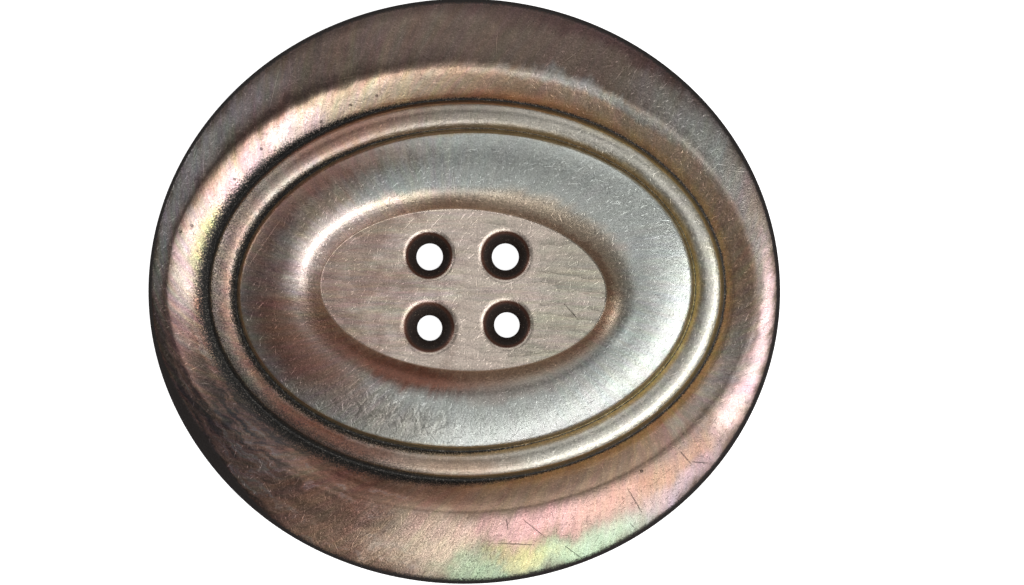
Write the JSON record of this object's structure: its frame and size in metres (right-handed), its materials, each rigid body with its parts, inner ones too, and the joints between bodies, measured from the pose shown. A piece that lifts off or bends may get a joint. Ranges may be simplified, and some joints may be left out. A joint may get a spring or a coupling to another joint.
{
  "type": "sew-through button",
  "caption": "Large oval sew-through button of carved smoky pearl shell: convex rim, bead and cushion round a flat oval eye with countersunk thread holes.",
  "frame": {"origin": "middle of the flat back face, at the centre of the outline", "axes": "+Z out of the carved face, +X along the outline's longer diameter, +Y along its shorter diameter"},
  "size_m": [0.042, 0.0388, 0.0042],
  "materials": {
    "smoky_pearl_shell": "polished"
  },
  "bodies": {
    "root": {"carved_shell_disc": "smoky_pearl_shell"}
  },
  "joints": []
}
